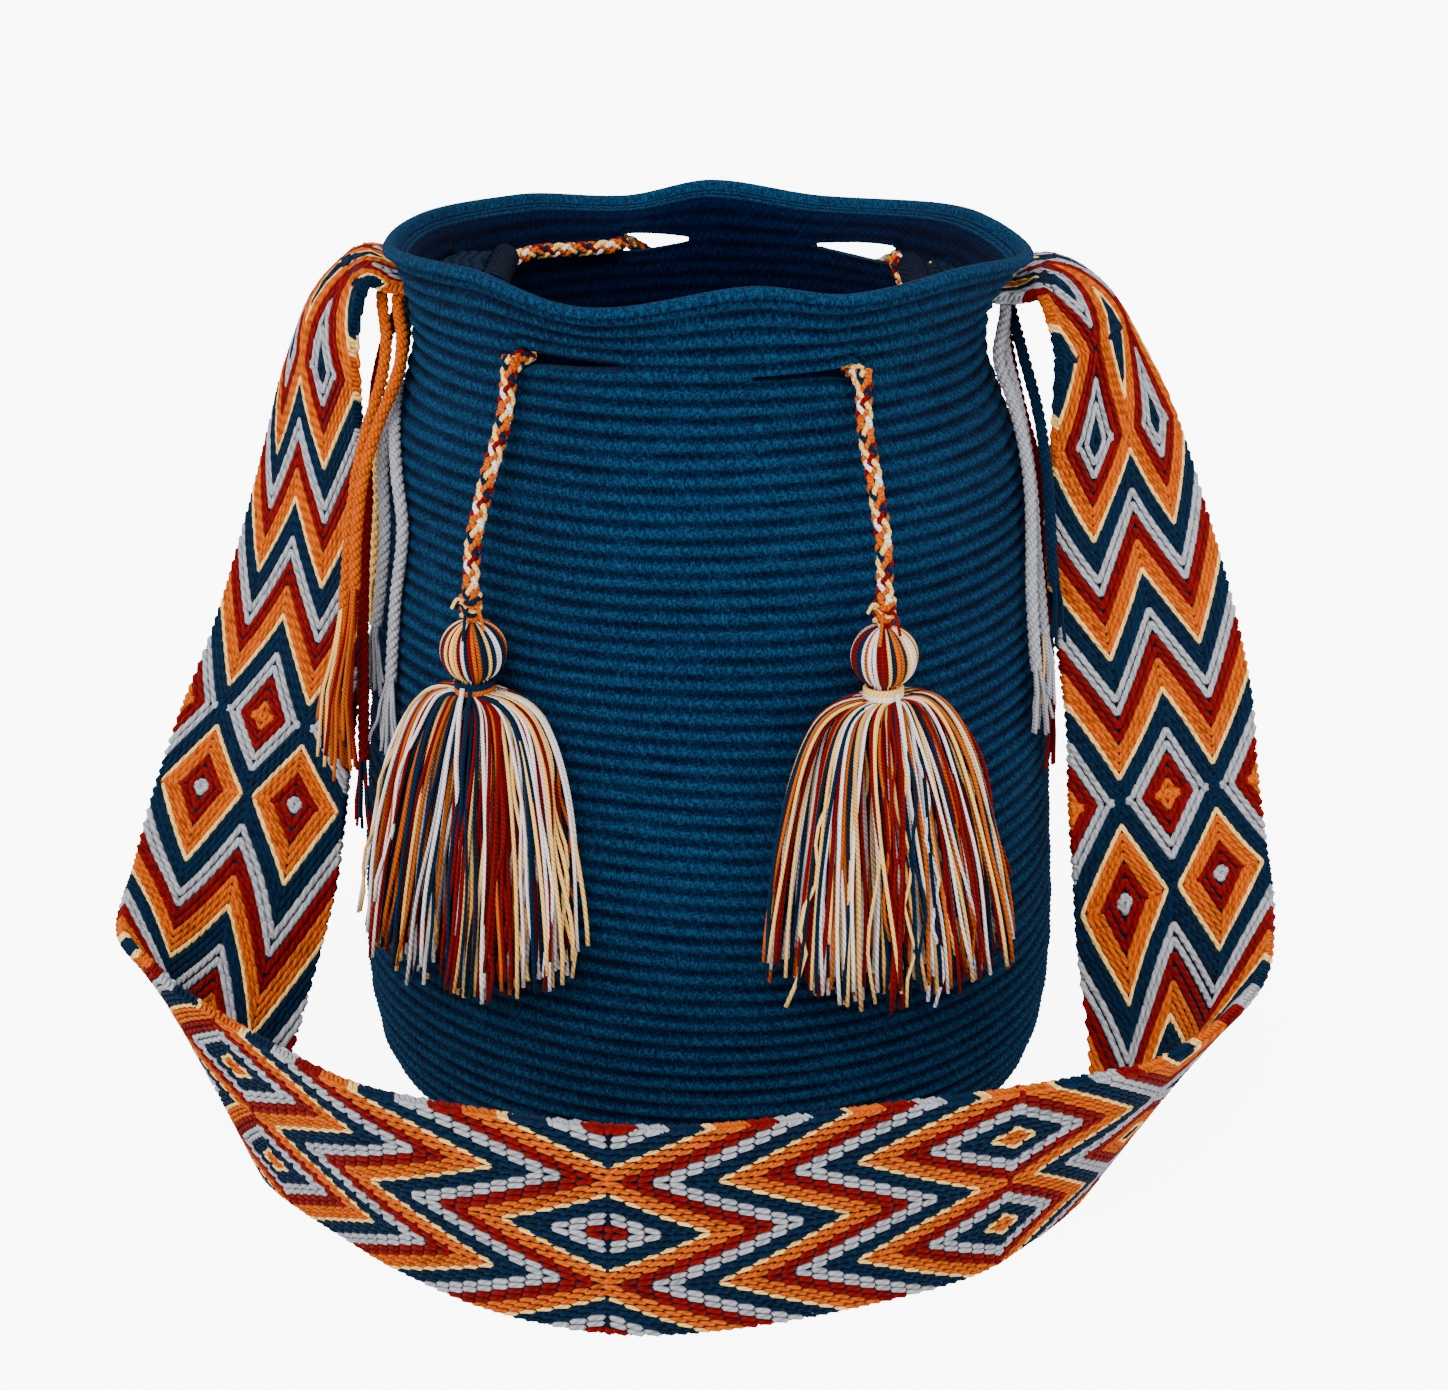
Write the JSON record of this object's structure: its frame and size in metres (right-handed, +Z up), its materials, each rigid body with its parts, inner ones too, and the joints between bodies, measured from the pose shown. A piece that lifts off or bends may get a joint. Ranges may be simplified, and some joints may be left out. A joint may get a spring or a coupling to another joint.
{
  "type": "crocheted mochila bucket bag",
  "caption": "Soft round crocheted bucket bag with a flared ruffled rim, a braided drawstring ending in tassels, and a wide chevron-woven shoulder strap with fringed ends.",
  "frame": {"origin": "centre of the base on the floor", "axes": "+Z up through the mouth, -Y towards the front where the tassels hang and the strap lies"},
  "size_m": [0.4277, 0.3625, 0.3218],
  "materials": {
    "crochet_navy": "crocheted cotton in ridged rows",
    "drawstring_braid": "braided cotton in orange, cream, white, red and navy",
    "tassel_wrap": "cotton yarn wrapped lengthwise over a ball",
    "tassel_strands": "loose twisted cotton yarns",
    "strap_weave": "oblique-plaited cotton in chevrons",
    "yarn_orange": "twisted cotton cord",
    "yarn_red": "twisted cotton cord",
    "yarn_cream": "twisted cotton cord",
    "yarn_grey": "twisted cotton cord",
    "yarn_navy": "twisted cotton cord"
  },
  "bodies": {
    "root": {"body": "crochet_navy", "drawstring": "drawstring_braid", "strap": "strap_weave", "left_strap_hem": "strap_weave", "right_strap_hem": "strap_weave", "left_fringe_orange_front": "yarn_orange", "left_fringe_orange_back": "yarn_orange", "left_fringe_red": "yarn_red", "left_fringe_cream": "yarn_cream", "left_fringe_grey_front": "yarn_grey", "left_fringe_grey_back": "yarn_grey", "right_fringe_grey_front": "yarn_grey", "right_fringe_grey_back": "yarn_grey", "right_fringe_navy": "yarn_navy", "right_fringe_red": "yarn_red"},
    "left_tassel": {"left_cord_leg": "drawstring_braid", "left_tassel_knot": "drawstring_braid", "left_tassel_head": "tassel_wrap", "left_tassel_binding": "tassel_wrap", "left_tassel_skirt": "tassel_strands"},
    "right_tassel": {"right_cord_leg": "drawstring_braid", "right_tassel_knot": "drawstring_braid", "right_tassel_head": "tassel_wrap", "right_tassel_binding": "tassel_wrap", "right_tassel_skirt": "tassel_strands"}
  },
  "joints": [
    {"name": "left_tassel_swing", "type": "hinge", "parent": "root", "child": "left_tassel", "pos_m": [-0.06532, -0.09174, 0.29429], "axis": [-0.8271, 0.5621, 0], "range_deg": [0, 80]},
    {"name": "right_tassel_swing", "type": "hinge", "parent": "root", "child": "right_tassel", "pos_m": [0.05252, -0.09536, 0.29075], "axis": [-0.8643, -0.503, 0], "range_deg": [0, 80]}
  ]
}
